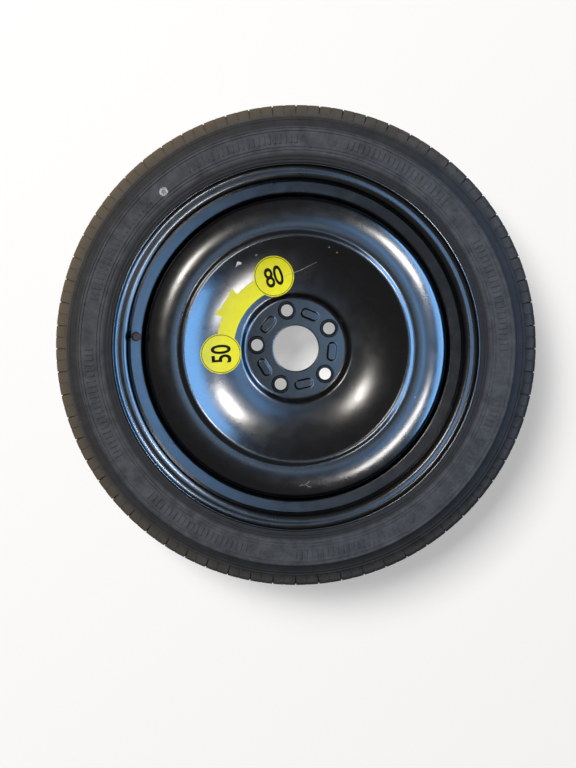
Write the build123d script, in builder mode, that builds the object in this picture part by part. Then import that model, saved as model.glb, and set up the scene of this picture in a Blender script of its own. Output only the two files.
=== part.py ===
from build123d import *
import math
import os

os.makedirs("parts", exist_ok=True)

# Driving dimensions in mm, with the wheel's axis on Z and its outer side up
tyre_od = 657.0
section_width = 125.0
tread_depth = 4.5
rim_width = 101.6
bead_seat_d = 462.0
flange_height = 17.0
rim_sheet = 2.4
disc_sheet = 4.0
wheel_offset = 15.0
bore_d = 63.4
bolt_circle = 108.0
bolt_count = 5
bolt_hole_d = 16.5
bolt_angle = 31.1
valve_angle = 175.7
valve_hole_d = 11.5

# Fits, one clearance for each kind of seat
press_fit = 0.1
bead_fit = 0.25
film_fit = 0.02
snap_fit = 0.1
thread_fit = 0.15
slide_fit = 0.3
seal_fit = 0.05

# Rim section on the tyre side
half_width = rim_width / 2
seat_r = bead_seat_d / 2
flange_r = seat_r + flange_height
lip_h = 9.0
lip_z = half_width + lip_h
flange_roll = 8.5
heel_roll = 6.5
seat_fall = 1.8
seat_end_r = seat_r - seat_fall
outer_seat_w = 21.3
inner_seat_w = 18.3
seat_end_z = half_width - outer_seat_w
ledge_slope = 12.0
ledge_rise = math.tan(math.radians(ledge_slope))
ledge_drop = 18.0
ledge_roll = 3.0
ledge_r = seat_r - ledge_drop
ledge_z = seat_end_z - (seat_end_r - ledge_r) * ledge_rise
well_drop = 23.0
well_r = seat_r - well_drop
well_top_z = 8.0
well_low_z = -20.0

# Disc section on the outer face
pad_z = wheel_offset + disc_sheet
pad_r = 70.0
pad_bend = 4.5
shoulder_r = pad_r + 6.5
shoulder_h = 7.5
shoulder_bend = 6.0
skirt_r = well_r - rim_sheet - press_fit
skirt_z = -10.0
bowl_r = skirt_r - 89.8
bowl_h = 13.0
bowl_bend = 3.57 * (bowl_r - shoulder_r)
ridge_r = skirt_r - 52.3
ridge_h = 38.3
ridge_bend = 5.5
valley_r = skirt_r - 45.8
valley_h = 34.2
valley_bend = 4.0
crown_r = skirt_r - 25.65
crown_h = 37.4
crown_bend = 62.0
edge_h = 27.6
edge_bend = 12.0

# Valve seat on the ledge, with the stem at right angles to it
valve_r = ledge_r + 7.4
valve_z = ledge_z + (valve_r - ledge_r) * ledge_rise + rim_sheet / math.cos(math.radians(ledge_slope))
valve_out = Vector(math.cos(math.radians(valve_angle)), math.sin(math.radians(valve_angle)), 0)
valve_side = Vector(-valve_out.Y, valve_out.X, 0)
valve_lean = Vector(0, 0, 1) * math.cos(math.radians(ledge_slope))
valve_lean = valve_lean - valve_out * math.sin(math.radians(ledge_slope))
valve_seat = valve_out * valve_r + Vector(0, 0, valve_z)
valve_plane = Plane(valve_seat, x_dir=valve_side, z_dir=valve_lean)
valve_section = Plane(valve_seat, x_dir=valve_side, z_dir=valve_side.cross(valve_lean))
valve_line = Axis(valve_seat, valve_lean)

# Valve stem, measured along its own line from the ledge
stem_foot = -12.0
stem_top = 16.2
tube_top = 25.4
tube_r = 3.85
tube_bore_r = 2.5
tube_air_r = 2.0
cone_low = 13.4
cone_top = 14.4
cap_r = 5.2
cap_foot = 16.7
cap_top = 27.8
washer_h = 0.7

# Valve core
pin_r = 0.45
core_r = tube_bore_r - thread_fit
barrel_r = 1.75
barrel_wall = 0.35
barrel_foot = 11.0
barrel_top = 20.0
plug_top = 24.2
collar_z = 18.6


def rim_path():
    """Corners of the rim's tyre side from the outer lip to the inner one, and the roll at each."""
    corners = [
        (flange_r, lip_z),
        (flange_r, half_width),
        (seat_r, half_width),
        (seat_end_r, seat_end_z),
        (ledge_r, ledge_z),
        (well_r, well_top_z),
        (well_r, well_low_z),
        (seat_end_r, inner_seat_w - half_width),
        (seat_r, -half_width),
        (flange_r, -half_width),
        (flange_r, -lip_z),
    ]
    rolls = [flange_roll, heel_roll, 0, ledge_roll, 0, 0, 0, heel_roll, flange_roll]
    return corners, rolls


def disc_path(lift=0.0):
    """Corners of the disc's outer face from the bore to the skirt's end, and the bend at each."""
    top_z = pad_z + lift
    corners = [
        (bore_d / 2, top_z),
        (pad_r, top_z),
        (shoulder_r, top_z + shoulder_h),
        (bowl_r, top_z + bowl_h),
        (ridge_r, top_z + ridge_h),
        (valley_r, top_z + valley_h),
        (crown_r, top_z + crown_h),
        (skirt_r, top_z + edge_h),
        (skirt_r, skirt_z),
    ]
    bends = [pad_bend, shoulder_bend, bowl_bend, ridge_bend, valley_bend, crown_bend, edge_bend]
    return corners, bends


# Rim, one rolled sheet with a hole for the valve in its ledge
with BuildPart() as rim:
    with BuildSketch(Plane.XZ):
        with BuildLine():
            rim_corners, rim_rolls = rim_path()
            FilletPolyline(*rim_corners, radius=rim_rolls)
            offset(amount=rim_sheet, side=Side.RIGHT)
        make_face()
    revolve(axis=Axis.Z)
    with BuildSketch(valve_plane):
        Circle(valve_hole_d / 2)
    extrude(amount=3 * rim_sheet, both=True, mode=Mode.SUBTRACT)
rim.part.label = "rim"
export_step(rim.part, "parts/rim.step")

# Disc, one pressed sheet with a bore, bolt seats and oblong embossings on its hub pad
boss_h = 2.5
boss_r = 12.8
seat_mouth_r = 11.0
seat_half_angle = 30.0
seat_h = (seat_mouth_r - bolt_hole_d / 2) / math.tan(math.radians(seat_half_angle))
emboss_r = 50.5
emboss_long = 26.5
emboss_wide = 13.5
emboss_h = 2.8
emboss_edge_r = 0.9
emboss_angle = bolt_angle + 180 / bolt_count
bore_edge_r = 1.5
with BuildPart() as disc:
    with BuildSketch(Plane.XZ):
        with BuildLine():
            disc_corners, disc_bends = disc_path()
            FilletPolyline(*disc_corners, radius=disc_bends)
            offset(amount=disc_sheet, side=Side.RIGHT)
        make_face()
    revolve(axis=Axis.Z)
    with BuildSketch(Plane.XY.offset(pad_z)):
        with PolarLocations(bolt_circle / 2, bolt_count, start_angle=bolt_angle):
            Circle(boss_r)
    extrude(amount=boss_h, taper=30)
    with BuildSketch(Plane.XY.offset(pad_z)):
        with PolarLocations(emboss_r, bolt_count, start_angle=emboss_angle):
            SlotOverall(emboss_long, emboss_wide, rotation=90)
    extrude(amount=emboss_h, taper=35)
    emboss_tops = disc.edges().filter_by_position(Axis.Z, pad_z + emboss_h - 0.01, pad_z + emboss_h + 0.01)
    fillet(emboss_tops, radius=emboss_edge_r)
    with BuildSketch(Plane.XY.offset(wheel_offset)):
        with PolarLocations(emboss_r, bolt_count, start_angle=emboss_angle):
            SlotOverall(emboss_long - disc_sheet, emboss_wide - disc_sheet, rotation=90)
    extrude(amount=emboss_h, taper=20, mode=Mode.SUBTRACT)
    with BuildSketch(Plane.XY.offset(wheel_offset)):
        with PolarLocations(bolt_circle / 2, bolt_count, start_angle=bolt_angle):
            Circle(bolt_hole_d / 2)
    extrude(amount=3 * disc_sheet, mode=Mode.SUBTRACT)
    with Locations((0, 0, pad_z + boss_h - seat_h / 2)):
        with PolarLocations(bolt_circle / 2, bolt_count, start_angle=bolt_angle):
            Cone(bolt_hole_d / 2, seat_mouth_r, seat_h, mode=Mode.SUBTRACT)
    round_edges = disc.edges().filter_by(GeomType.CIRCLE)
    bore_edges = round_edges.filter_by(lambda edge: abs(edge.radius - bore_d / 2) < 0.01)
    fillet(bore_edges.sort_by(Axis.Z)[-1], radius=bore_edge_r)
    pad_edges = disc.edges().filter_by_position(Axis.Z, pad_z - 0.01, pad_z + 0.01)
    fillet(pad_edges.filter_by(lambda edge: edge.length < 20), radius=1.2)
disc.part.label = "disc"
export_step(disc.part, "parts/disc.step")

# Weld seam in the corner between the skirt's end and the rim's well
seam_h = 4.5
with BuildPart() as weld_seam:
    with BuildSketch(Plane.XZ):
        with BuildLine():
            seam_r = skirt_r + press_fit - film_fit
            Line((seam_r, skirt_z), (skirt_r - disc_sheet + 0.5, skirt_z))
            Line((seam_r, skirt_z), (seam_r, skirt_z - seam_h))
            RadiusArc((skirt_r - disc_sheet + 0.5, skirt_z), (seam_r, skirt_z - seam_h), 2 * seam_h)
        make_face()
    revolve(axis=Axis.Z)
weld_seam.part.label = "weld_seam"
export_step(weld_seam.part, "parts/weld_seam.step")

# Speed label, a film on the bowl with two round ends, a curved strap and a pull tab
label_film = 0.25
label_r = 103.0
label_end_r = 27.5
label_start = 107.0
label_stop = 184.0
strap_inner_r = 85.5
strap_outer_r = 109.0
tab_start = 137.0
tab_stop = 157.0
tab_r = 116.5
ear_r = 119.0
ear_sweep = 3.5
with BuildPart() as speed_label:
    with BuildSketch(Plane.XZ):
        with BuildLine():
            film_corners, film_bends = disc_path(lift=film_fit)
            FilletPolyline(*film_corners, radius=film_bends)
            offset(amount=label_film, side=Side.LEFT)
        make_face()
    revolve(axis=Axis.Z)
    with BuildSketch(Plane.XY.offset(pad_z)):
        for end_angle in (label_start, label_stop):
            with PolarLocations(label_r, 1, start_angle=end_angle):
                Circle(label_end_r)
        for inner_r, outer_r, start, stop in (
            (strap_inner_r, strap_outer_r, label_start, label_stop),
            (label_r, tab_r, tab_start, tab_stop),
            (label_r, ear_r, tab_start, tab_start + ear_sweep),
            (label_r, ear_r, tab_stop - ear_sweep, tab_stop),
        ):
            with BuildLine():
                near = CenterArc((0, 0), inner_r, start, stop - start)
                far = CenterArc((0, 0), outer_r, start, stop - start)
                Line(near @ 0, far @ 0)
                Line(near @ 1, far @ 1)
            make_face()
    extrude(amount=50, mode=Mode.INTERSECT)
speed_label.part.label = "speed_label"
export_step(speed_label.part, "parts/speed_label.step")

# Tyre, one hollow moulding with two beads, ringed sidewalls, grooved tread and notched shoulders
tread_r = tyre_od / 2
side_z = section_width / 2
bead_r = flange_r + bead_fit
bead_z = half_width - bead_fit
side_h = tread_r - bead_r
panel_outer_r = bead_r + 0.58 * side_h
panel_inner_r = bead_r + 0.17 * side_h
bead_rib_r = bead_r + 0.13 * side_h
tread_edge_z = side_z - 11.9
tread_wall = 11.0
side_wall = 6.5
liner_r = tread_r - tread_wall
shoulder_roll = 12.0
notch_count = 64
notch_width = 1.6
with BuildPart() as tyre:
    with BuildSketch(Plane.XZ):
        with BuildLine():
            outer_half = [
                (tread_r, 0),
                (tread_r - 0.1, 9),
                (tread_r - tread_depth, 9.8),
                (tread_r - tread_depth, 14.2),
                (tread_r - 0.3, 15),
                (tread_r - 1.0, 29),
                (tread_r - tread_depth - 0.5, 29.6),
                (tread_r - tread_depth - 0.5, 32.9),
                (tread_r - 1.2, 33.5),
                (tread_r - 2.3, tread_edge_z),
                (panel_outer_r + 1, side_z - 1.2),
                (panel_outer_r, side_z),
                (panel_inner_r, side_z),
                (bead_rib_r, side_z - 1.4),
                (bead_r + 1.5, lip_z + 0.4),
                (bead_r, lip_z),
                (bead_r, bead_z + 5.2),
                (bead_r - 5.2, bead_z),
                (seat_r + heel_roll, bead_z),
                (seat_r + bead_fit, half_width - heel_roll),
                (seat_end_r + 1.2 + bead_fit, half_width - 17.8),
            ]
            inner_half = [
                (seat_r + 5.5, half_width - 18.8),
                (bead_r, half_width - 6.3),
                (bead_r + 0.25 * side_h, side_z - side_wall),
                (bead_r + 0.55 * side_h, side_z - side_wall),
                (liner_r, tread_edge_z - 9.6),
                (liner_r, 0),
            ]
            bends = [0] * (len(outer_half) + len(inner_half) - 2)
            bends[outer_half.index((tread_r - 2.3, tread_edge_z)) - 1] = shoulder_roll
            FilletPolyline(*outer_half, *inner_half, radius=bends)
            Line((liner_r, 0), (tread_r, 0))
        make_face()
        mirror(about=Plane.XZ)
    revolve(axis=Axis.Z)
    for side in (1, -1):
        with Locations((0, 0, side * (tread_edge_z - 0.6))):
            with PolarLocations(tread_r - 7, notch_count):
                Box(3.2, notch_width, 26.0, rotation=(0, side * -50, 0), mode=Mode.SUBTRACT)
tyre.part.label = "tyre"
export_step(tyre.part, "parts/tyre.step")


def turned(corners, bends=0):
    """A face of the valve's section, as (radius, place along the stem) corners in order."""
    FilletPolyline(*corners, radius=bends, close=True)


# Valve body, the rubber stem that snaps into the ledge's hole
hole_r = valve_hole_d / 2 - snap_fit
foot_r = 8.3
foot_grip_r = 6.0
collar_r = 6.3
with BuildPart() as valve_body:
    with BuildSketch(valve_section):
        with BuildLine():
            turned(
                [
                    (tube_r + film_fit, stem_foot),
                    (foot_r - 2, stem_foot),
                    (foot_r, stem_foot + 2.5),
                    (foot_r, -rim_sheet - 3.5),
                    (foot_grip_r, -rim_sheet - film_fit),
                    (hole_r, -rim_sheet - film_fit),
                    (hole_r, film_fit),
                    (collar_r, film_fit),
                    (collar_r, 2.6),
                    (hole_r - 0.2, 7.0),
                    (hole_r - 0.4, stem_top),
                    (tube_r + film_fit, stem_top),
                ],
            )
        make_face()
    revolve(axis=valve_line)
valve_body.part.label = "valve_body"
export_step(valve_body.part, "parts/valve_body.step")

# Valve tube, with a thread for the cap outside and a cone for the core inside
with BuildPart() as valve_tube:
    with BuildSketch(valve_section):
        with BuildLine():
            turned(
                [
                    (tube_air_r, stem_foot),
                    (tube_r, stem_foot),
                    (tube_r, tube_top - 0.5),
                    (tube_r - 0.5, tube_top),
                    (tube_bore_r, tube_top),
                    (tube_bore_r, cone_top),
                    (tube_air_r, cone_low),
                ]
            )
        make_face()
    revolve(axis=valve_line)
valve_tube.part.label = "valve_tube"
export_step(valve_tube.part, "parts/valve_tube.step")

# Core plug, a threaded head with a key bar across its top
with BuildPart() as core_plug:
    with BuildSketch(valve_plane.offset(barrel_top)):
        Circle(core_r)
        Circle(pin_r + slide_fit, mode=Mode.SUBTRACT)
    extrude(amount=plug_top - barrel_top)
    with BuildSketch(valve_plane.offset(plug_top - 2)):
        with GridLocations(2 * core_r, 1, 2, 1):
            Rectangle(1.7, 2 * tube_r)
    extrude(amount=3, mode=Mode.SUBTRACT)
core_plug.part.label = "core_plug"
export_step(core_plug.part, "parts/core_plug.step")

# Core barrel, a sleeve that houses the spring
with BuildPart() as core_barrel:
    with BuildSketch(valve_section):
        with BuildLine():
            turned(
                [
                    (pin_r + slide_fit, barrel_foot),
                    (barrel_r - 0.3, barrel_foot),
                    (barrel_r - 0.3, cone_low),
                    (barrel_r + 0.3, cone_top + 0.6),
                    (barrel_r + 0.3, barrel_top - seal_fit),
                    (barrel_r - barrel_wall, barrel_top - seal_fit),
                    (barrel_r - barrel_wall, cone_top),
                    (pin_r + slide_fit, cone_top - 0.6),
                ]
            )
        make_face()
    revolve(axis=valve_line)
core_barrel.part.label = "core_barrel"
export_step(core_barrel.part, "parts/core_barrel.step")

# Barrel seal, a ring between the barrel's waist and the tube's cone
with BuildPart() as barrel_seal:
    with BuildSketch(valve_section):
        with BuildLine():
            turned(
                [
                    (barrel_r - 0.3 + film_fit, cone_low - 0.9),
                    (tube_air_r - film_fit, cone_low - 0.9),
                    (tube_air_r - film_fit, cone_low - film_fit),
                    (barrel_r - 0.3 + film_fit, cone_low - film_fit),
                ]
            )
        make_face()
    revolve(axis=valve_line)
barrel_seal.part.label = "barrel_seal"
export_step(barrel_seal.part, "parts/barrel_seal.step")

# Core pin, pressed at its tip, with a collar that the spring lifts
with BuildPart() as core_pin:
    with BuildSketch(valve_section):
        with BuildLine():
            turned(
                [
                    (0, barrel_foot - 2.2),
                    (pin_r, barrel_foot - 2.2),
                    (pin_r, collar_z),
                    (barrel_r - barrel_wall - slide_fit, collar_z),
                    (barrel_r - barrel_wall - slide_fit, collar_z + 0.6),
                    (pin_r, collar_z + 0.6),
                    (pin_r, tube_top - 0.4),
                    (0, tube_top - 0.2),
                ]
            )
        make_face()
    revolve(axis=valve_line)
core_pin.part.label = "core_pin"
export_step(core_pin.part, "parts/core_pin.step")

# Core cup on the pin's inner end, which holds the cup seal against the barrel
cup_r = barrel_r - 0.2
with BuildPart() as core_cup:
    with BuildSketch(valve_section):
        with BuildLine():
            turned(
                [
                    (pin_r + film_fit, barrel_foot - 1.8),
                    (cup_r, barrel_foot - 1.8),
                    (cup_r, barrel_foot - 0.6),
                    (cup_r - 0.3, barrel_foot - 0.6),
                    (cup_r - 0.3, barrel_foot - 1.2),
                    (pin_r + film_fit, barrel_foot - 1.2),
                ]
            )
        make_face()
    revolve(axis=valve_line)
core_cup.part.label = "core_cup"
export_step(core_cup.part, "parts/core_cup.step")

# Cup seal
with BuildPart() as cup_seal:
    with BuildSketch(valve_plane.offset(barrel_foot - 1.2 + film_fit)):
        Circle(cup_r - 0.3 - film_fit)
        Circle(pin_r + film_fit, mode=Mode.SUBTRACT)
    extrude(amount=1.2 - film_fit - seal_fit)
cup_seal.part.label = "cup_seal"
export_step(cup_seal.part, "parts/cup_seal.step")

# Valve cap, a plastic cap with grip flutes
cap_bore_r = tube_r + thread_fit + 0.15
washer_low = tube_top + seal_fit
flute_count = 12
with BuildPart() as valve_cap:
    with BuildSketch(valve_section):
        with BuildLine():
            turned(
                [
                    (cap_bore_r, cap_foot),
                    (cap_r, cap_foot),
                    (cap_r, cap_top),
                    (0, cap_top),
                    (0, washer_low + washer_h + film_fit),
                    (cap_bore_r, washer_low + washer_h + film_fit),
                ],
                [0, 0.3, 1.0, 0, 0, 0],
            )
        make_face()
    revolve(axis=valve_line)
    with BuildSketch(valve_plane.offset(cap_foot + 2)):
        with PolarLocations(cap_r + 0.55, flute_count):
            Circle(0.9)
    extrude(amount=cap_top - cap_foot - 3.5, mode=Mode.SUBTRACT)
valve_cap.part.label = "valve_cap"
export_step(valve_cap.part, "parts/valve_cap.step")

# Cap washer, pressed on the tube's end
with BuildPart() as cap_washer:
    with BuildSketch(valve_plane.offset(washer_low)):
        Circle(cap_bore_r - slide_fit)
        Circle(tube_bore_r, mode=Mode.SUBTRACT)
    extrude(amount=washer_h)
cap_washer.part.label = "cap_washer"
export_step(cap_washer.part, "parts/cap_washer.step")
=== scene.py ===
import math

import bmesh
import bpy
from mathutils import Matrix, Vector

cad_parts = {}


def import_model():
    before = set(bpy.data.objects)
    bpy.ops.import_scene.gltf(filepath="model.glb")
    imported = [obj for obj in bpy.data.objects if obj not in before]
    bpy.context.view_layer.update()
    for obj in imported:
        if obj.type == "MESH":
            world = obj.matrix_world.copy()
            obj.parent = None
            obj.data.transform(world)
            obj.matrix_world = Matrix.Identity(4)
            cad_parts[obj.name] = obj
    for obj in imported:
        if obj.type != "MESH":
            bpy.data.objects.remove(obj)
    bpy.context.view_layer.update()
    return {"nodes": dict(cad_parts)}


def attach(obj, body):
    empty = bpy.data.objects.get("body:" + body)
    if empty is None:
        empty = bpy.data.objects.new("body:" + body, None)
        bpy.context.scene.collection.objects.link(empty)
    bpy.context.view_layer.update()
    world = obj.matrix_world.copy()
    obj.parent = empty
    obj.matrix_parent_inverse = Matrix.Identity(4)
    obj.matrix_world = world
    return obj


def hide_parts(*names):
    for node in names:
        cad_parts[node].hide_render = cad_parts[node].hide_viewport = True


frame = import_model()
MM = 0.001

# Sizes repeated from the part, in mm
TREAD_R = 328.5
SIDE_Z = 62.5
TREAD_DEPTH = 4.5
FLANGE_R = 248.0
LIP_Z = 59.8
PAD_Z = 19.0
LABEL_R = 103.0
LABEL_END_R = 27.5
LABEL_FILM = 0.27
LABEL_ENDS = {"80": 107.0, "50": 184.0}
RIM_SHEET = 2.4
DISC_SHEET = 4.0
PAD_EDGE = 67.94
LIP_ROUND = [(-1.2, -1.0), (-1.0, -0.35), (-0.5, 0.0), (0.5, 0.0), (1.0, -0.35), (1.2, -1.0)]

# Detail of the scene's own, in mm: shoulder notches, every second one shallow, and ribs on the sidewall
NOTCH_COUNT = 128
NOTCH_WIDTH = 1.3
SHALLOW_NOTCH = 0.3
SHOULDER_CENTRE = Vector((314.0, 38.0))
PANEL_Z = SIDE_Z - 0.8
RIB_GROUPS = 8
RIBS_PER_GROUP = 22
RIB_SHARE = 0.72
RIB_R = 279.0
RIB_LENGTH = 11.0
RIB_WIDTH = 2.2
RIB_FLARE = 0.8
FIGURE_TALL, FIGURE_WIDE = 27.0, 25.0
PRINT_PROUD = 0.06
CHIP_PROUD = 0.03
SCRATCH_PROUD = 0.05

# Photograph's camera, nearly straight down, in metres and pixels
IMAGE_W, IMAGE_H = 576, 768
CAMERA_Z = 1.298
FOCAL_PX = 920.6
WHEEL_AT = (296.0, 349.1)
SENSOR = 36.0
CAMERA_SHIFT = -0.077


def rounded(corners, bends, chord=1.5):
    """Points along a path of corners, with an arc of the given radius at each inner corner."""
    points = [Vector(corners[0])]
    for before, corner, after, bend in zip(corners, corners[1:], corners[2:], bends):
        here = Vector(corner)
        way_in = (here - Vector(before)).normalized()
        way_out = (Vector(after) - here).normalized()
        turn = way_in.angle_signed(way_out)
        if bend == 0 or abs(turn) < 1e-4:
            points.append(here)
            continue
        reach = bend * math.tan(abs(turn) / 2)
        start = here - way_in * reach
        side = Vector((-way_in.y, way_in.x)) * (-1 if turn > 0 else 1)
        centre = start + side * bend
        steps = max(3, math.ceil(bend * abs(turn) / chord))
        for i in range(steps + 1):
            arm = start - centre
            swing = -turn * i / steps
            cos, sin = math.cos(swing), math.sin(swing)
            points.append(centre + Vector((arm.x * cos - arm.y * sin, arm.x * sin + arm.y * cos)))
    points.append(Vector(corners[-1]))
    return points


def mesh_object(name, vertices, faces, smooth=True):
    """A new mesh object from points in mm."""
    mesh = bpy.data.meshes.new(name)
    mesh.from_pydata([tuple(c * MM for c in v) for v in vertices], [], faces)
    mesh.update()
    for face in mesh.polygons:
        face.use_smooth = smooth
    thing = bpy.data.objects.new(name, mesh)
    bpy.context.scene.collection.objects.link(thing)
    return thing


def dress(thing, material):
    thing.data.materials.clear()
    thing.data.materials.append(material)


def inner_side(corners, bends, thickness):
    """Corners and bends of a sheet's other face, to the right of its path."""
    path = [Vector(c) for c in corners]
    ways = [(b - a).normalized() for a, b in zip(path, path[1:])]
    rights = [Vector((w.y, -w.x)) for w in ways]
    moved = [path[0] + rights[0] * thickness]
    radii = []
    for corner, one, two, way, after, bend in zip(path[1:], rights, rights[1:], ways, ways[1:], bends):
        moved.append(corner + (one + two) * (thickness / (1 + one.dot(two))))
        turns_right = way.x * after.y - way.y * after.x < 0
        radii.append(max(0.0, bend - thickness) if turns_right else bend + thickness)
    moved.append(path[-1] + rights[-1] * thickness)
    return moved, radii


def supported(points, reach=0.5):
    """The same section with extra points near the ends of its long straight stretches, to keep them flat."""
    held = []
    for a, b in zip(points, points[1:]):
        held.append(a)
        if (b - a).length > 4 * reach:
            step = (b - a).normalized() * reach
            held += [a + step, b - step]
    held.append(points[-1])
    return held


def lathe(name, section, closed, turns=288):
    """A round piece turned from (radius, height) points."""
    count = len(section)
    vertices, faces = [], []
    for i in range(turns):
        angle = 2 * math.pi * i / turns
        vertices += [(p.x * math.cos(angle), p.x * math.sin(angle), p.y) for p in section]
    for i in range(turns):
        here, there = i * count, (i + 1) % turns * count
        for j in range(count if closed else count - 1):
            k = (j + 1) % count
            faces.append((here + j, here + k, there + k, there + j))
    thing = mesh_object(name, vertices, faces)
    thing.data.set_sharp_from_angle(angle=math.radians(40))
    return thing


DISC_CORNERS = [
    (31.7, PAD_Z),
    (70.0, PAD_Z),
    (76.5, PAD_Z + 7.5),
    (115.7, PAD_Z + 13.0),
    (153.2, PAD_Z + 38.3),
    (159.7, PAD_Z + 34.2),
    (179.85, PAD_Z + 37.4),
    (205.5, PAD_Z + 27.6),
    (205.5, -10.0),
]
DISC_BENDS = [4.5, 6.0, 140.0, 5.5, 4.0, 62.0, 12.0]
RIM_CORNERS = [
    (FLANGE_R, LIP_Z),
    (FLANGE_R, 50.8),
    (231.0, 50.8),
    (229.2, 29.5),
    (213.0, 26.06),
    (208.0, 8.0),
    (208.0, -20.0),
    (229.2, -32.5),
    (231.0, -50.8),
    (FLANGE_R, -50.8),
    (FLANGE_R, -LIP_Z),
]
RIM_ROLLS = [8.5, 6.5, 0.8, 3.0, 1.5, 1.5, 0.8, 6.5, 8.5]


BOWL = [p for p in rounded(DISC_CORNERS, DISC_BENDS) if p.x < 205.0]


def bowl_z(radius):
    """Height of the disc's outer face at a radius, in mm."""
    for a, b in zip(BOWL, BOWL[1:]):
        if a.x <= radius <= b.x:
            share = (radius - a.x) / max(b.x - a.x, 1e-6)
            return a.y + (b.y - a.y) * share
    return PAD_Z


# Materials


CHALK_AT = (-0.1759, 0.2090, 0.0625)
BLACK = (0.0022, 0.0022, 0.0026)


def material(name, color, roughness, metallic=0.0, specular=0.5):
    """A principled material, with its node tree, shader and object-space coordinates."""
    made = bpy.data.materials.new(name)
    made.use_nodes = True
    tree = made.node_tree
    shader = tree.nodes["Principled BSDF"]
    shader.inputs["Base Color"].default_value = (*color, 1)
    shader.inputs["Roughness"].default_value = roughness
    shader.inputs["Metallic"].default_value = metallic
    shader.inputs["Specular IOR Level"].default_value = specular
    place = tree.nodes.new("ShaderNodeTexCoord").outputs["Object"]
    return made, tree, shader, place


def noise(tree, place, scale, detail=6.0, roughness=0.6):
    node = tree.nodes.new("ShaderNodeTexNoise")
    node.inputs["Scale"].default_value = scale
    node.inputs["Detail"].default_value = detail
    node.inputs["Roughness"].default_value = roughness
    tree.links.new(place, node.inputs["Vector"])
    return node.outputs["Fac"]


def ramp(tree, value, stops):
    """A colour ramp over (place, grey or colour) stops."""
    node = tree.nodes.new("ShaderNodeValToRGB")
    band = node.color_ramp
    while len(band.elements) < len(stops):
        band.elements.new(0.5)
    for element, (at, tint) in zip(band.elements, stops):
        element.position = at
        element.color = (*tint, 1) if isinstance(tint, tuple) else (tint, tint, tint, 1)
    tree.links.new(value, node.inputs["Fac"])
    return node.outputs["Color"]


def mix(tree, share, a, b):
    """Colour a where share is 0 and b where it is 1; each is a socket or a colour."""
    node = tree.nodes.new("ShaderNodeMix")
    node.data_type = "RGBA"
    for socket, value in ((node.inputs[0], share), (node.inputs[6], a), (node.inputs[7], b)):
        if isinstance(value, tuple):
            socket.default_value = (*value, 1)
        else:
            tree.links.new(value, socket)
    return node.outputs[2]


def bump(tree, shader, height, strength, distance):
    node = tree.nodes.new("ShaderNodeBump")
    node.inputs["Strength"].default_value = strength
    node.inputs["Distance"].default_value = distance
    tree.links.new(height, node.inputs["Height"])
    tree.links.new(node.outputs["Normal"], shader.inputs["Normal"])


def axis_distance(tree, place):
    """Distance from the wheel's axis, in metres."""
    flat = tree.nodes.new("ShaderNodeVectorMath")
    flat.operation = "MULTIPLY"
    flat.inputs[1].default_value = (1, 1, 0)
    tree.links.new(place, flat.inputs[0])
    length = tree.nodes.new("ShaderNodeVectorMath")
    length.operation = "LENGTH"
    tree.links.new(flat.outputs[0], length.inputs[0])
    return length.outputs["Value"]


def span(tree, value, low, high):
    """The value as a share of the way from low to high."""
    node = tree.nodes.new("ShaderNodeMapRange")
    node.inputs["From Min"].default_value = low
    node.inputs["From Max"].default_value = high
    tree.links.new(value, node.inputs["Value"])
    return node.outputs["Result"]


def black_paint(name, relief):
    made, tree, shader, place = material(name, BLACK, 0.24, specular=0.09)
    specks = ramp(tree, noise(tree, place, 420.0, 3.0), [(0.0, 0.0), (0.68, 0.0), (0.76, 1.0)])
    haze = ramp(tree, noise(tree, place, 26.0), [(0.35, 0.0), (0.85, 0.3)])
    dust = mix(tree, haze, specks, (0.25, 0.25, 0.25))
    tone = mix(tree, dust, BLACK, (0.016, 0.015, 0.014))
    tree.links.new(tone, shader.inputs["Base Color"])
    tree.links.new(ramp(tree, noise(tree, place, 60.0), [(0.25, 0.19), (0.85, 0.29)]), shader.inputs["Roughness"])
    bump(tree, shader, noise(tree, place, 160.0, 2.0), relief, 0.0004)
    return made


def tyre_rubber():
    made, tree, shader, place = material("tyre_rubber", (0.06, 0.06, 0.066), 0.6, specular=0.004)
    reach = axis_distance(tree, place)
    grain = noise(tree, place, 60.0, 9.0, 0.7)
    mottle = ramp(tree, grain, [(0.3, (0.030, 0.033, 0.039)), (0.75, (0.084, 0.092, 0.108))])
    # Painted shade: darker on the bead ring by the rim and on the flank's slope, a little darker over the shoulder
    painted_shade_bands = ramp(
        tree,
        span(tree, reach, 0.240, 0.330),
        [(0.0, 0.85), (0.2, 0.75), (0.24, 0.0), (0.59, 0.0), (0.62, 0.75), (0.74, 0.75), (0.8, 0.25), (1.0, 0.25)],
    )
    tone = mix(tree, painted_shade_bands, mottle, (0.017, 0.018, 0.021))
    edge = ramp(tree, span(tree, reach, 0.305, 0.322), [(0.0, 0.1), (0.5, 0.6), (1.0, 0.95)])
    # The tread's edge is browner and lighter on the key lamp's side: dust, and painted light
    dust_and_light_share = mix(tree, dust_and_lit_side(tree, place), (0.2, 0.2, 0.2), (1.0, 1.0, 1.0))
    brown = mix(tree, edge, tone, (0.100, 0.078, 0.051))
    rubber = mix(tree, dust_and_light_share, tone, brown)
    chalk = mix(tree, chalk_ring(tree, place), rubber, (0.55, 0.56, 0.55))
    tree.links.new(chalk, shader.inputs["Base Color"])
    tree.links.new(ramp(tree, noise(tree, place, 50.0), [(0.2, 0.4), (0.9, 0.6)]), shader.inputs["Roughness"])
    bump(tree, shader, noise(tree, place, 420.0, 6.0, 0.7), 0.35, 0.0007)
    return made


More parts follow.
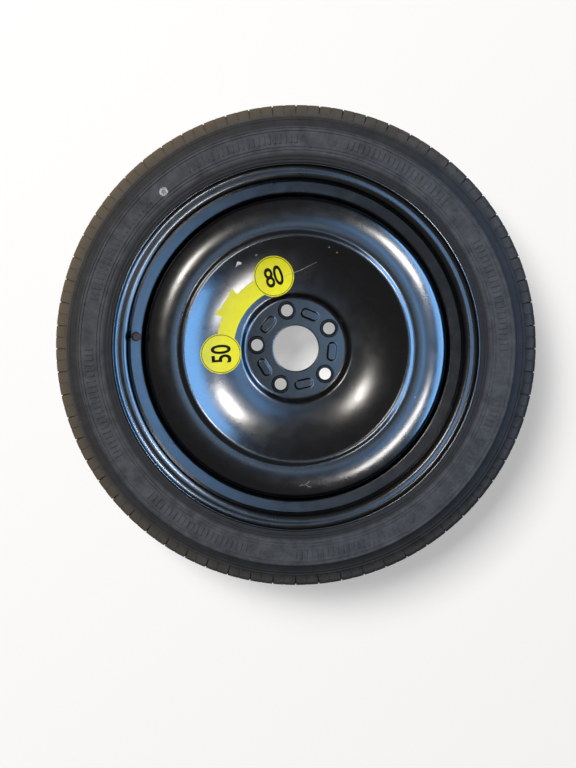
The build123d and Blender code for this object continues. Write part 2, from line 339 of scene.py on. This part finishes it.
def chalk_ring(tree, place):
    """The worn inspection ring in white paint on the outer sidewall."""
    away = tree.nodes.new("ShaderNodeVectorMath")
    away.operation = "DISTANCE"
    away.inputs[1].default_value = CHALK_AT
    tree.links.new(place, away.inputs[0])
    ring = ramp(
        tree,
        span(tree, away.outputs["Value"], 0.0, 0.008),
        [(0.0, 0.55), (0.3, 0.3), (0.42, 0.85), (0.68, 0.95), (0.78, 0.0), (1.0, 0.0)],
    )
    worn = ramp(tree, noise(tree, place, 900.0, 3.0), [(0.38, 0.0), (0.55, 1.0)])
    return mix(tree, worn, (0.0, 0.0, 0.0), ring)


def dust_and_lit_side(tree, place):
    """How brown and light the tread's edge is: most towards the upper left, the side the key lamp lights; dust, and
    painted light.
    """
    along = tree.nodes.new("ShaderNodeVectorMath")
    along.operation = "DOT_PRODUCT"
    along.inputs[1].default_value = (-0.91, 0.41, 0)
    tree.links.new(place, along.inputs[0])
    return ramp(tree, span(tree, along.outputs["Value"], -0.1, 0.3), [(0.0, 0.0), (1.0, 1.0)])


def notch_dust():
    made, tree, shader, place = material("notch_dust", (0.1, 0.09, 0.07), 0.85, specular=0.0)
    tone = ramp(tree, noise(tree, place, 300.0), [(0.3, (0.03, 0.027, 0.021)), (0.75, (0.11, 0.1, 0.08))])
    tree.links.new(tone, shader.inputs["Base Color"])
    return made


def label_yellow():
    made, tree, shader, place = material("label_yellow", (0.8, 0.78, 0.005), 0.5, specular=0.02)
    tone = ramp(tree, noise(tree, place, 55.0, 8.0), [(0.25, (0.72, 0.68, 0.004)), (0.75, (0.82, 0.8, 0.006))])
    tree.links.new(tone, shader.inputs["Base Color"])
    tree.links.new(ramp(tree, noise(tree, place, 130.0), [(0.2, 0.42), (0.9, 0.6)]), shader.inputs["Roughness"])
    bump(tree, shader, noise(tree, place, 240.0), 0.1, 0.0003)
    return made


def label_ink():
    made, tree, shader, place = material("label_ink", (0.012, 0.012, 0.012), 0.6, specular=0.0)
    tone = ramp(tree, noise(tree, place, 200.0), [(0.3, (0.009, 0.009, 0.009)), (0.8, (0.03, 0.028, 0.02))])
    tree.links.new(tone, shader.inputs["Base Color"])
    return made


def plain(name, low, high, roughness, metallic=0.0, scale=400.0, specular=0.06):
    """A material with a light mottle between two colours."""
    made, tree, shader, place = material(name, low, roughness, metallic, specular=specular)
    tree.links.new(ramp(tree, noise(tree, place, scale), [(0.3, low), (0.75, high)]), shader.inputs["Base Color"])
    bump(tree, shader, noise(tree, place, 3 * scale), 0.15, 0.0001)
    return made


PAINT = black_paint("black_paint", 0.005)
HUB_PAINT = black_paint("black_paint_hub", 0.16)
RUBBER = tyre_rubber()
DUST = notch_dust()
YELLOW = label_yellow()
INK = label_ink()
VALVE_RUBBER = plain("valve_rubber", (0.012, 0.012, 0.012), (0.03, 0.028, 0.026), 0.6)
BRASS = plain("valve_brass", (0.55, 0.38, 0.15), (0.66, 0.5, 0.24), 0.3, 1.0)
STEEL = plain("pin_steel", (0.5, 0.5, 0.5), (0.62, 0.62, 0.62), 0.28, 1.0)
CAP = plain("cap_plastic", (0.02, 0.016, 0.013), (0.05, 0.038, 0.03), 0.6, specular=0.02)
SCRATCHED = plain("scratched_paint", (0.12, 0.12, 0.115), (0.3, 0.29, 0.27), 0.6)
BARE = plain("bare_chip", (0.62, 0.62, 0.63), (0.8, 0.8, 0.8), 0.5)

NODE_MATERIALS = {
    "rim": PAINT,
    "disc": PAINT,
    "weld_seam": PAINT,
    "speed_label": YELLOW,
    "valve_body": VALVE_RUBBER,
    "barrel_seal": VALVE_RUBBER,
    "cup_seal": VALVE_RUBBER,
    "cap_washer": VALVE_RUBBER,
    "valve_tube": BRASS,
    "core_plug": BRASS,
    "core_barrel": BRASS,
    "core_cup": BRASS,
    "core_pin": STEEL,
    "valve_cap": CAP,
}
for node_name, node_material in NODE_MATERIALS.items():
    dress(frame["nodes"][node_name], node_material)


# Rim and disc, turned finely so that their gloss runs smooth


def build_rim():
    outer = rounded(RIM_CORNERS, RIM_ROLLS, chord=1.0)
    corners, rolls = inner_side(RIM_CORNERS, RIM_ROLLS, RIM_SHEET)
    inner = rounded(corners, rolls, chord=1.0)
    lip = [Vector((FLANGE_R - RIM_SHEET / 2, LIP_Z)) + Vector((x, y)) for x, y in LIP_ROUND]
    low_lip = [Vector((v.x, -v.y)) for v in reversed(lip)]
    section = lip + supported(outer[1:-1]) + low_lip + list(reversed(supported(inner[1:-1])))
    thing = lathe("rim_detail", section, closed=True)
    dress(thing, PAINT)
    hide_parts("rim")
    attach(thing, "wheel")


def build_disc():
    """The pressed disc: its hub pad from the solid, and everything outside the pad turned."""
    top = [p for p in rounded(DISC_CORNERS, DISC_BENDS, chord=1.2) if p.x > PAD_EDGE - 0.01]
    corners, bends = inner_side(DISC_CORNERS, DISC_BENDS, DISC_SHEET)
    under = [p for p in rounded(corners, bends, chord=2.5) if p.x > PAD_EDGE - 0.01]
    outer = lathe("disc_outer", supported(top) + list(reversed(supported(under))), closed=False)
    hub = bmesh.new()
    hub.from_mesh(frame["nodes"]["disc"].data)
    outside = [f for f in hub.faces if max(v.co.xy.length for v in f.verts) > (PAD_EDGE + 0.02) * MM]
    bmesh.ops.delete(hub, geom=outside, context="FACES")
    mesh = bpy.data.meshes.new("disc_hub")
    hub.to_mesh(mesh)
    hub.free()
    pad = bpy.data.objects.new("disc_hub", mesh)
    bpy.context.scene.collection.objects.link(pad)
    for piece in (outer, pad):
        dress(piece, HUB_PAINT if piece is pad else PAINT)
        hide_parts("disc")
        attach(piece, "wheel")


build_rim()
build_disc()


# Tyre, with notched shoulders and moulded rings


def tyre_section():
    """The tyre's closed section as (radius, height) points, from the tread's middle over the outer side."""
    lip = FLANGE_R + 0.25
    tread = [
        (TREAD_R, 0.0),
        (TREAD_R - 0.1, 9.0),
        (TREAD_R - TREAD_DEPTH, 9.8),
        (TREAD_R - TREAD_DEPTH, 14.2),
        (TREAD_R - 0.3, 15.0),
        (TREAD_R - 1.0, 29.0),
        (TREAD_R - TREAD_DEPTH - 0.5, 29.6),
        (TREAD_R - TREAD_DEPTH - 0.5, 32.9),
        (TREAD_R - 1.2, 33.5),
        (TREAD_R - 2.3, 50.6),
    ]
    slope = -(SIDE_Z - 1.2 - 50.6) / (TREAD_R - 2.3 - 295.6)

    def flank(radius, proud=0.0):
        return (radius, 50.6 + (radius - TREAD_R + 2.3) * slope + proud)

    side = []
    for ring in (308.6, 305.0):
        side += [flank(ring + 1.0), flank(ring + 0.5, 0.55), flank(ring - 0.5, 0.55), flank(ring - 1.0)]
    panel = []
    for ring in (289.5, 268.5, 264.5):
        panel += [(ring + 0.6, PANEL_Z), (ring + 0.3, SIDE_Z), (ring - 0.3, SIDE_Z), (ring - 0.6, PANEL_Z)]
    side += [
        (295.6, SIDE_Z - 1.2),
        (294.6, SIDE_Z),
        (293.0, SIDE_Z),
        (292.6, PANEL_Z),
        *panel,
        (262.4, PANEL_Z),
        (258.6, SIDE_Z - 1.4),
        (257.8, SIDE_Z - 1.5),
        (257.4, SIDE_Z - 1.1),
        (256.6, SIDE_Z - 1.2),
        (256.2, SIDE_Z - 1.7),
        (254.2, SIDE_Z - 2.0),
        (253.4, SIDE_Z - 1.3),
        (252.2, SIDE_Z - 1.4),
        (251.4, SIDE_Z - 2.2),
        (lip + 1.5, LIP_Z + 0.4),
        (lip, LIP_Z),
        (lip, 55.75),
        (lip - 5.2, 50.55),
        (237.5, 50.55),
        (231.25, 44.3),
        (230.65, 33.0),
    ]
    liner = [(236.5, 32.0), (250.0, 44.5), (268.0, 56.0), (292.0, 56.0), (317.5, 41.0), (317.5, 0.0)]
    outer = tread + side
    bends = [0.5, 0.0, 0.0, 0.5, 0.5, 0.0, 0.0, 0.5, 12.0] + [0.0] * len(side)
    half = rounded(outer + liner, bends + [0.0] * (len(liner) - 1), chord=1.6)
    mirrored = [Vector((p.x, -p.y)) for p in reversed(half[1:-1])]
    return half + mirrored


def notch_depth(point):
    """How deep a shoulder notch is at a section point, in mm."""
    swing = math.degrees(math.atan2(abs(point.y) - SHOULDER_CENTRE.y, point.x - SHOULDER_CENTRE.x))
    if point.x < 309.8 or abs(point.y) < 36.0 or not 0 < swing < 108:
        return 0.0
    return 0.7 + 1.4 * min(1.0, swing / 40, (108 - swing) / 16)


def build_tyre():
    section = tyre_section()
    pitch = 2 * math.pi / NOTCH_COUNT
    half_notch = NOTCH_WIDTH / 2 / 322.0
    steps = [-half_notch - 0.0008, -half_notch, half_notch, half_notch + 0.0008]
    steps += [pitch * 0.5]
    count, around = len(section), NOTCH_COUNT * len(steps)
    hollow = [notch_depth(p) for p in section]
    centre = SHOULDER_CENTRE
    vertices, faces, dusty = [], [], []
    for turn in range(NOTCH_COUNT):
        share = 1.0 if turn % 2 == 0 else SHALLOW_NOTCH
        for i, step in enumerate(steps):
            angle = turn * pitch + step
            for point, depth in zip(section, hollow):
                spot = point.copy()
                if depth and i in (1, 2):
                    way = Vector((point.x - centre.x, abs(point.y) - centre.y)).normalized() * depth * share
                    spot = Vector((point.x - way.x, point.y - math.copysign(way.y, point.y)))
                vertices.append((spot.x * math.cos(angle), spot.x * math.sin(angle), spot.y))
    for a in range(around):
        b = (a + 1) % around
        for i in range(count):
            j = (i + 1) % count
            faces.append((a * count + i, b * count + i, b * count + j, a * count + j))
            dusty.append(a % len(steps) == 1 and (hollow[i] > 0 or hollow[j] > 0))
    thing = mesh_object("tyre_detail", vertices, faces)
    thing.data.materials.append(RUBBER)
    thing.data.materials.append(DUST)
    for face, is_dusty in zip(thing.data.polygons, dusty):
        face.material_index = 1 if is_dusty else 0
    bpy.context.view_layer.objects.active = thing
    thing.data.set_sharp_from_angle(angle=math.radians(38))
    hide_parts("tyre")
    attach(thing, "wheel")


build_tyre()


def build_side_ribs():
    """Groups of fine raised ribs on the outer sidewall, where a tyre carries its moulding."""
    vertices, faces = [], []
    for group in range(RIB_GROUPS):
        for rib in range(RIBS_PER_GROUP):
            angle = 2 * math.pi * (group + RIB_SHARE * rib / RIBS_PER_GROUP) / RIB_GROUPS
            out, along = Vector((math.cos(angle), math.sin(angle))), Vector((-math.sin(angle), math.cos(angle)))
            first = len(vertices)
            for grow, z in ((RIB_FLARE, PANEL_Z - 0.1), (0.0, SIDE_Z)):
                for end, side in ((-1, -1), (1, -1), (1, 1), (-1, 1)):
                    reach = RIB_R + end * (RIB_LENGTH / 2 + grow)
                    spot = out * reach + along * side * (RIB_WIDTH / 2 + grow)
                    vertices.append((spot.x, spot.y, z))
            faces.append([first + i for i in (4, 5, 6, 7)])
            faces.append([first + i for i in (3, 2, 1, 0)])
            for i in range(4):
                j = (i + 1) % 4
                faces.append([first + i, first + j, first + 4 + j, first + 4 + i])
    thing = mesh_object("side_ribs", vertices, faces, smooth=False)
    dress(thing, RUBBER)
    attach(thing, "wheel")


build_side_ribs()


# Print on the label


def on_disc(x, y, radius, angle, proud):
    """A point laid on the disc's face: x to the right and y outward from a place on it, in mm."""
    base = math.radians(angle)
    out, right = Vector((math.cos(base), math.sin(base))), Vector((math.sin(base), -math.cos(base)))
    spot = out * (radius + y) + right * x
    return (spot.x, spot.y, bowl_z(spot.length) + proud)


def print_piece(name, flat_vertices, faces, angle):
    laid = [on_disc(x, y, LABEL_R, angle, LABEL_FILM + PRINT_PROUD) for x, y in flat_vertices]
    thing = mesh_object(name, laid, faces)
    dress(thing, INK)
    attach(thing, "wheel")


def numerals(text, angle):
    """The label's speed figures, upright outward."""
    curve = bpy.data.curves.new("figures", "FONT")
    curve.body = text
    curve.align_x = "CENTER"
    curve.size = 1.0
    curve.space_character = 0.95
    curve.offset = 0.017
    shape = bpy.data.objects.new("figures", curve)
    flat = bpy.data.meshes.new_from_object(shape)
    cut = bmesh.new()
    cut.from_mesh(flat)
    bmesh.ops.triangulate(cut, faces=cut.faces)
    bmesh.ops.subdivide_edges(cut, edges=[e for e in cut.edges if e.calc_length() > 0.15], cuts=3)
    bmesh.ops.triangulate(cut, faces=cut.faces)
    low = min(v.co.y for v in cut.verts)
    high = max(v.co.y for v in cut.verts)
    left = min(v.co.x for v in cut.verts)
    right = max(v.co.x for v in cut.verts)
    points = [
        (
            ((v.co.x - left) / (right - left) - 0.5) * FIGURE_WIDE,
            ((v.co.y - low) / (high - low) - 0.5) * FIGURE_TALL,
        )
        for v in cut.verts
    ]
    cut.verts.index_update()
    faces = [tuple(v.index for v in f.verts) for f in cut.faces]
    cut.free()
    bpy.data.objects.remove(shape)
    print_piece("figures_" + text, points, faces, angle)


def label_ring(text, angle):
    """The thin printed ring near the edge of a label end."""
    inner, outer, steps = LABEL_END_R * 0.925, LABEL_END_R * 0.955, 120
    points, faces = [], []
    for i in range(steps):
        swing = 2 * math.pi * i / steps
        points += [(r * math.cos(swing), r * math.sin(swing)) for r in (inner, outer)]
        after = (i + 1) % steps
        faces.append((2 * i, 2 * i + 1, 2 * after + 1, 2 * after))
    print_piece("label_ring_" + text, points, faces, angle)


for speed, end_angle in LABEL_ENDS.items():
    numerals(speed, end_angle)
    label_ring(speed, end_angle)


# Chips and scratches in the paint


def chip(name, radius, angle, outline, finish):
    """A bare spot, as an outline of (right, outward) points in mm."""
    middle = [sum(c) / len(outline) for c in zip(*outline)]
    points = [on_disc(x, y, radius, angle, CHIP_PROUD) for x, y in [middle] + outline]
    faces = [(0, i + 1, (i + 1) % len(outline) + 1) for i in range(len(outline))]
    thing = mesh_object(name, points, faces)
    dress(thing, finish)
    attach(thing, "wheel")


def scratch(name, start, stop, width, proud, steps=24):
    """A fine line between two (radius, angle) places, thinner towards its ends."""
    ends = [Vector((r * math.cos(math.radians(a)), r * math.sin(math.radians(a)))) for r, a in (start, stop)]
    across = Vector((ends[0].y - ends[1].y, ends[1].x - ends[0].x)).normalized()
    points = []
    for i in range(steps + 1):
        share = i / steps
        spot = ends[0].lerp(ends[1], share) + across * 0.5 * math.sin(9 * share)
        half = width * (0.25 + 0.75 * math.sin(math.pi * share)) / 2
        for edge in (spot - across * half, spot + across * half):
            points.append((edge.x, edge.y, bowl_z(edge.length) + proud))
    faces = [(2 * i, 2 * i + 1, 2 * i + 3, 2 * i + 2) for i in range(steps)]
    thing = mesh_object(name, points, faces)
    dress(thing, SCRATCHED)
    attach(thing, "wheel")


chip("chip_large", 138.7, 124.4, [(-5.5, -2.0), (-1.0, -1.2), (4.0, -2.6), (5.2, -0.8), (1.5, 3.0), (-1.5, 1.2)], BARE)
chip("chip_b", 137.5, 113.0, [(-1.6, -0.8), (1.2, -1.0), (1.8, 0.6), (-0.6, 1.1)], SCRATCHED)
chip("chip_c", 143.6, 72.0, [(-1.2, -0.7), (1.4, -0.5), (0.8, 0.9), (-0.9, 0.6)], SCRATCHED)
chip("chip_d", 141.0, 66.9, [(-1.4, -0.5), (1.0, -0.8), (1.2, 0.7), (-0.8, 0.8)], SCRATCHED)
chip("chip_e", 174.0, 338.0, [(-0.9, -1.4), (0.9, -0.9), (0.7, 1.3), (-0.6, 1.0)], SCRATCHED)
scratch("scratch_long", (99.0, 100.6), (121.0, 76.0), 0.7, LABEL_FILM + 2 * SCRATCH_PROUD)
scratch("scratch_y_a", (185.4, 274.0), (190.5, 276.5), 0.9, SCRATCH_PROUD)
scratch("scratch_y_b", (185.4, 274.0), (181.0, 276.0), 0.8, SCRATCH_PROUD)
scratch("scratch_y_c", (185.4, 274.0), (186.5, 271.2), 0.9, SCRATCH_PROUD)


# Floor, light and camera


def seen_ray(tree):
    """1 where a camera, glossy or transmission ray looks, and 0 for the rays that light the object."""
    path = tree.nodes.new("ShaderNodeLightPath")
    total = path.outputs["Is Camera Ray"]
    for kind in ("Is Glossy Ray", "Is Transmission Ray"):
        add = tree.nodes.new("ShaderNodeMath")
        add.use_clamp = True
        tree.links.new(total, add.inputs[0])
        tree.links.new(path.outputs[kind], add.inputs[1])
        total = add.outputs[0]
    return total


def floor():
    bpy.ops.mesh.primitive_plane_add(size=12, location=(0, 0, -SIDE_Z * MM - 0.0005))
    ground = bpy.context.object
    ground.name = "floor"
    made = bpy.data.materials.new("floor_white")
    made.use_nodes = True
    tree = made.node_tree
    shader = tree.nodes["Principled BSDF"]
    shader.inputs["Base Color"].default_value = (0.49, 0.49, 0.49, 1)
    shader.inputs["Roughness"].default_value = 0.9
    shader.inputs["Specular IOR Level"].default_value = 0.0
    glow = tree.nodes.new("ShaderNodeEmission")
    glow.inputs["Color"].default_value = (1, 1, 1, 1)
    glow.inputs["Strength"].default_value = 0.43
    both = tree.nodes.new("ShaderNodeAddShader")
    choose = tree.nodes.new("ShaderNodeMixShader")
    tree.links.new(shader.outputs[0], both.inputs[0])
    tree.links.new(glow.outputs[0], both.inputs[1])
    tree.links.new(seen_ray(tree), choose.inputs[0])
    tree.links.new(shader.outputs[0], choose.inputs[1])
    tree.links.new(both.outputs[0], choose.inputs[2])
    tree.links.new(choose.outputs[0], tree.nodes["Material Output"].inputs["Surface"])
    dress(ground, made)


def lamp(name, azimuth, zenith, distance, size, radiance, color, diffuse=True, glossy=True):
    """A soft rectangular lamp that faces the wheel, placed by compass angle and angle from the vertical."""
    light = bpy.data.lights.new(name, "AREA")
    light.shape = "RECTANGLE"
    light.size, light.size_y = size
    light.energy = radiance * math.pi * size[0] * size[1]
    light.color = color
    thing = bpy.data.objects.new(name, light)
    a, t = math.radians(azimuth), math.radians(zenith)
    thing.location = Vector((math.sin(t) * math.cos(a), math.sin(t) * math.sin(a), math.cos(t))) * distance
    thing.rotation_euler = (-thing.location).to_track_quat("-Z", "Y").to_euler()
    bpy.context.scene.collection.objects.link(thing)
    thing.visible_camera = False
    thing.visible_diffuse = diffuse
    thing.visible_glossy = glossy


def world():
    sky = bpy.data.worlds.new("studio")
    sky.use_nodes = True
    tree = sky.node_tree
    back = tree.nodes["Background"]
    back.inputs["Color"].default_value = (0.9, 0.95, 1.0, 1)
    back.inputs["Strength"].default_value = 0.04
    white = tree.nodes.new("ShaderNodeBackground")
    white.inputs["Color"].default_value = (1, 1, 1, 1)
    white.inputs["Strength"].default_value = 1.0
    choose = tree.nodes.new("ShaderNodeMixShader")
    tree.links.new(seen_ray(tree), choose.inputs[0])
    tree.links.new(back.outputs[0], choose.inputs[1])
    tree.links.new(white.outputs[0], choose.inputs[2])
    tree.links.new(choose.outputs[0], tree.nodes["World Output"].inputs["Surface"])
    bpy.context.scene.world = sky


def camera():
    """The photograph's view, from a little above the wheel's middle, leaning to put the wheel in its place."""
    lens = bpy.data.cameras.new("camera")
    lens.sensor_width = SENSOR
    lens.lens = FOCAL_PX / IMAGE_H * SENSOR
    eye = bpy.data.objects.new("camera", lens)
    depth = CAMERA_Z - LIP_Z * MM
    right = (WHEEL_AT[0] - IMAGE_W / 2) * depth / FOCAL_PX
    below = (IMAGE_H / 2 - WHEEL_AT[1]) * depth / FOCAL_PX + CAMERA_SHIFT
    lean = math.atan2(below, depth) - math.atan2(IMAGE_H / 2 - WHEEL_AT[1], FOCAL_PX)
    eye.location = (-right, -below, CAMERA_Z)
    eye.rotation_euler = (lean, 0, 0)
    bpy.context.scene.collection.objects.link(eye)
    bpy.context.scene.camera = eye


WINDOW_BLUE = (0.2, 0.5, 1.0)
LAMP_WARM = (1.0, 0.95, 0.88)

floor()
world()
lamp("key", 135, 36, 9.0, (4.0, 4.0), 22.0, (1.0, 0.985, 0.96), glossy=False)
lamp("ceiling", 330, 2.5, 2.9, (0.42, 0.42), 20, (0.62, 0.82, 1.0), diffuse=False)
lamp("window_low", 8, 62, 2.6, (4.0, 1.3), 120, WINDOW_BLUE, diffuse=False)
lamp("window_high", 4, 26, 2.6, (2.4, 1.3), 14, WINDOW_BLUE, diffuse=False)
lamp("window_top", 5, 10.5, 2.6, (1.5, 0.26), 70, WINDOW_BLUE, diffuse=False)
lamp("lamp_a", 38, 38, 2.6, (0.6, 0.42), 520, LAMP_WARM, diffuse=False)
lamp("lamp_b", 146, 28, 2.6, (0.35, 0.35), 480, LAMP_WARM, diffuse=False)
lamp("lamp_c", 318, 34, 2.6, (1.2, 0.36), 270, (1.0, 0.97, 0.93), diffuse=False)
camera()
bpy.context.scene.view_settings.view_transform = "Standard"
